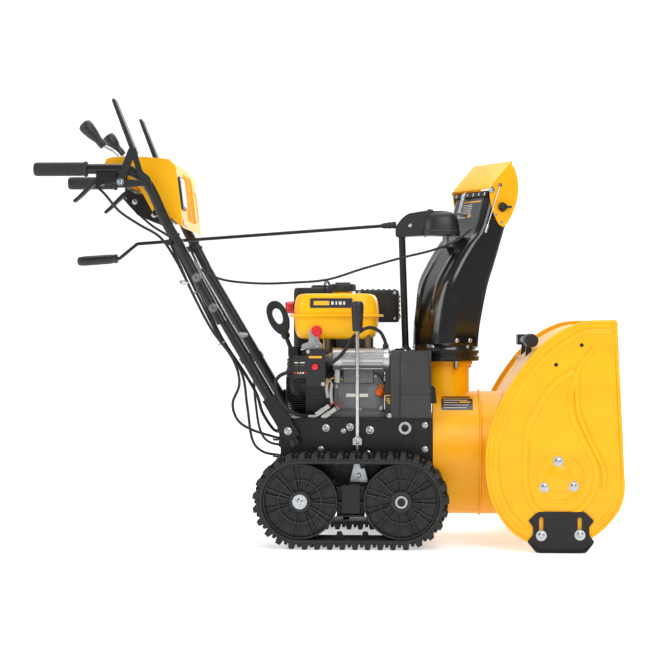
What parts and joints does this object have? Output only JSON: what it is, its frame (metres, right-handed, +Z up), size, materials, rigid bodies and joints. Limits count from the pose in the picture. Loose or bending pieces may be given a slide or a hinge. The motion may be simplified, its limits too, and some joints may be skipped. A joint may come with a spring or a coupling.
{
  "type": "two stage snowblower",
  "caption": "Walk-behind two stage snowblower on rubber tracks, with auger housing, impeller, swivelling chute, engine, control panel and handlebars.",
  "frame": {"origin": "on the ground, below the middle of the machine's bounding box", "axes": "+X the way the machine drives, +Y its left side, +Z up"},
  "size_m": [1.466, 0.636, 1.122],
  "materials": {
    "yellow_paint": "gloss powder coat",
    "black_paint": "satin powder coat",
    "black_plastic": "textured",
    "black_rubber": "matte",
    "zinc_steel": "zinc plated",
    "cast_aluminium": "as cast",
    "cast_iron": "painted",
    "red_plastic": "moulded",
    "yellow_plastic": "moulded"
  },
  "bodies": {
    "machine": {"housing_shell": "yellow_paint", "housing_side_right": "yellow_paint", "housing_side_left": "yellow_paint", "scraper_bar": "zinc_steel", "impeller_drum": "yellow_paint", "auger_gearbox": "cast_aluminium", "chassis": "black_paint", "belt_cover": "black_plastic", "auger_belt": "black_rubber", "engine_block": "cast_iron", "recoil_housing": "black_plastic", "fuel_tank": "yellow_plastic", "muffler": "black_paint", "intake_cover": "black_plastic", "starter_motor": "cast_aluminium", "starter_box": "black_plastic", "lower_handlebar": "black_paint", "upper_handlebar_right": "black_paint", "upper_handlebar_left": "black_paint", "grip_right": "black_rubber", "grip_left": "black_rubber", "dash_panel": "yellow_plastic", "chute_post": "black_paint", "control_cable": "black_rubber", "deflector_cable": "black_rubber"},
    "clean_out": {"clean_out_tool": "black_plastic"},
    "skid_right": {"skid_shoe_right": "black_paint"},
    "skid_left": {"skid_shoe_left": "black_paint"},
    "auger": {"auger_shaft": "zinc_steel", "auger_flight_right": "black_paint", "auger_flight_left": "black_paint"},
    "impeller_rotor": {"impeller": "black_paint", "impeller_shaft": "zinc_steel"},
    "engine_shaft": {"crankshaft": "zinc_steel"},
    "disc": {"drive_disc": "cast_iron"},
    "friction": {"friction_wheel": "black_rubber"},
    "carriage": {"track_carriage": "black_paint", "track_belt_right": "black_rubber", "track_belt_left": "black_rubber"},
    "drive_right": {"drive_wheel_right": "black_plastic"},
    "drive_left": {"drive_wheel_left": "black_plastic"},
    "idler_right": {"idler_wheel_right": "black_plastic"},
    "idler_left": {"idler_wheel_left": "black_plastic"},
    "lift_lever": {"height_lever": "zinc_steel"},
    "recoil": {"recoil_handle": "black_plastic"},
    "cap": {"fuel_cap": "black_plastic"},
    "button": {"start_button": "red_plastic"},
    "throttle": {"throttle_lever": "red_plastic"},
    "choke": {"choke_knob": "red_plastic"},
    "clutch_right": {"clutch_lever_right": "black_paint"},
    "clutch_left": {"clutch_lever_left": "black_paint"},
    "steer_right": {"trigger_right": "black_plastic"},
    "steer_left": {"trigger_left": "black_plastic"},
    "speed": {"speed_lever": "black_plastic"},
    "deflector_control": {"deflector_lever": "black_plastic"},
    "chute_body": {"chute": "black_plastic", "deflector_spring": "zinc_steel"},
    "hood": {"deflector": "yellow_paint"},
    "wing_knob": {"deflector_knob": "black_plastic"},
    "crank": {"chute_crank": "black_paint"}
  },
  "joints": [
    {"name": "engine_crank", "type": "hinge", "parent": "machine", "child": "engine_shaft", "pos_m": [0, 0, 0.405], "axis": [1, 0, 0], "continuous": true},
    {"name": "impeller_spin", "type": "hinge", "parent": "machine", "child": "impeller_rotor", "pos_m": [0, 0, 0.223], "axis": [1, 0, 0], "continuous": true},
    {"name": "auger_spin", "type": "hinge", "parent": "machine", "child": "auger", "pos_m": [0.575, 0, 0.18], "axis": [0, 1, 0], "continuous": true},
    {"name": "disc_spin", "type": "hinge", "parent": "machine", "child": "disc", "pos_m": [0, 0, 0.242], "axis": [1, 0, 0], "continuous": true},
    {"name": "friction_wheel_spin", "type": "hinge", "parent": "machine", "child": "friction", "pos_m": [0.0737, 0, 0.242], "axis": [0, 1, 0], "continuous": true},
    {"name": "track_pitch", "type": "hinge", "parent": "machine", "child": "carriage", "pos_m": [-0.06, 0, 0.118], "axis": [0, 1, 0], "range_deg": [-7, 7]},
    {"name": "height_lever_travel", "type": "slide", "parent": "machine", "child": "lift_lever", "axis": [0, 0, 1], "range_m": [-0.018, 0.018]},
    {"name": "drive_wheel_right_spin", "type": "hinge", "parent": "carriage", "child": "drive_right", "pos_m": [-0.06, 0, 0.118], "axis": [0, 1, 0], "continuous": true},
    {"name": "idler_wheel_right_spin", "type": "hinge", "parent": "carriage", "child": "idler_right", "pos_m": [0.191, 0, 0.118], "axis": [0, 1, 0], "continuous": true},
    {"name": "drive_wheel_left_spin", "type": "hinge", "parent": "carriage", "child": "drive_left", "pos_m": [-0.06, 0, 0.118], "axis": [0, 1, 0], "continuous": true},
    {"name": "idler_wheel_left_spin", "type": "hinge", "parent": "carriage", "child": "idler_left", "pos_m": [0.191, 0, 0.118], "axis": [0, 1, 0], "continuous": true},
    {"name": "skid_right_height", "type": "slide", "parent": "machine", "child": "skid_right", "axis": [0, 0, 1], "range_m": [-0.02, 0]},
    {"name": "skid_left_height", "type": "slide", "parent": "machine", "child": "skid_left", "axis": [0, 0, 1], "range_m": [-0.02, 0]},
    {"name": "clean_out_lift", "type": "slide", "parent": "machine", "child": "clean_out", "axis": [0, 0, 1], "range_m": [0, 0.08]},
    {"name": "recoil_pull", "type": "slide", "parent": "machine", "child": "recoil", "axis": [-0.3759, 0, 0.9267], "range_m": [0, 0.4]},
    {"name": "fuel_cap_turn", "type": "hinge", "parent": "machine", "child": "cap", "pos_m": [0.037, -0.03, 0.652], "axis": [0, 0, 1], "continuous": true},
    {"name": "start_button_press", "type": "slide", "parent": "machine", "child": "button", "axis": [0, 1, 0], "range_m": [0, 0.003], "stiffness_N_per_m": 600, "springref_m": -0.002},
    {"name": "throttle_turn", "type": "hinge", "parent": "machine", "child": "throttle", "pos_m": [-0.025, -0.142, 0.498], "axis": [0, 1, 0], "range_deg": [-25, 25]},
    {"name": "choke_turn", "type": "hinge", "parent": "machine", "child": "choke", "pos_m": [-0.11, 0.118, 0.602], "axis": [1, 0, 0], "range_deg": [0, 90]},
    {"name": "clutch_right_press", "type": "hinge", "parent": "machine", "child": "clutch_right", "pos_m": [-0.511, -0.2435, 0.912], "axis": [0, -1, 0], "range_deg": [0, 58], "stiffness_Nm_per_rad": 2, "springref_deg": -22.92},
    {"name": "steering_right_squeeze", "type": "hinge", "parent": "machine", "child": "steer_right", "pos_m": [-0.563, -0.225, 0.915], "axis": [0, 1, 0], "range_deg": [0, 22], "stiffness_Nm_per_rad": 1, "springref_deg": -22.92},
    {"name": "clutch_left_press", "type": "hinge", "parent": "machine", "child": "clutch_left", "pos_m": [-0.511, 0.2435, 0.912], "axis": [0, -1, 0], "range_deg": [0, 58], "stiffness_Nm_per_rad": 2, "springref_deg": -22.92},
    {"name": "steering_left_squeeze", "type": "hinge", "parent": "machine", "child": "steer_left", "pos_m": [-0.563, 0.225, 0.915], "axis": [0, 1, 0], "range_deg": [0, 22], "stiffness_Nm_per_rad": 1, "springref_deg": -22.92},
    {"name": "speed_select", "type": "hinge", "parent": "machine", "child": "speed", "pos_m": [-0.5, -0.045, 0.905], "axis": [0, 1, 0], "range_deg": [-12, 25]},
    {"name": "deflector_lever_swing", "type": "hinge", "parent": "machine", "child": "deflector_control", "pos_m": [-0.5, 0.045, 0.905], "axis": [0, 1, 0], "range_deg": [-12, 25]},
    {"name": "chute_swivel", "type": "hinge", "parent": "machine", "child": "chute_body", "pos_m": [0.305, 0, 0.462], "axis": [0, 0, 1], "range_deg": [-127, 63], "deforming": ["deflector_cable"]},
    {"name": "chute_crank_turn", "type": "hinge", "parent": "machine", "child": "crank", "pos_m": [-0.505, 0, 0.769], "axis": [0.9975, 0, 0.0704], "range_deg": [-1020, 1020]},
    {"name": "deflector_tilt", "type": "hinge", "parent": "chute_body", "child": "hood", "pos_m": [0.37708, 0.04504, 0.905], "axis": [-0.5299, 0.848, 0], "range_deg": [-8, 45], "deforming": ["deflector_spring", "deflector_cable"]},
    {"name": "deflector_knob_turn", "type": "hinge", "parent": "chute_body", "child": "wing_knob", "pos_m": [0.45117, -0.01125, 0.862], "axis": [-0.5299, 0.848, 0], "continuous": true}
  ],
  "couplings": [
    {"joint": "impeller_spin", "follows": "engine_crank", "ratio": 0.4},
    {"joint": "disc_spin", "follows": "engine_crank", "ratio": 0.35},
    {"joint": "auger_spin", "follows": "engine_crank", "ratio": 0.04},
    {"joint": "idler_wheel_right_spin", "follows": "drive_wheel_right_spin", "ratio": 1},
    {"joint": "idler_wheel_left_spin", "follows": "drive_wheel_left_spin", "ratio": 1},
    {"joint": "height_lever_travel", "follows": "track_pitch", "m_per_rad": -0.14},
    {"joint": "chute_crank_turn", "follows": "chute_swivel", "ratio": 8},
    {"joint": "deflector_lever_swing", "follows": "deflector_tilt", "ratio": 0.5}
  ]
}
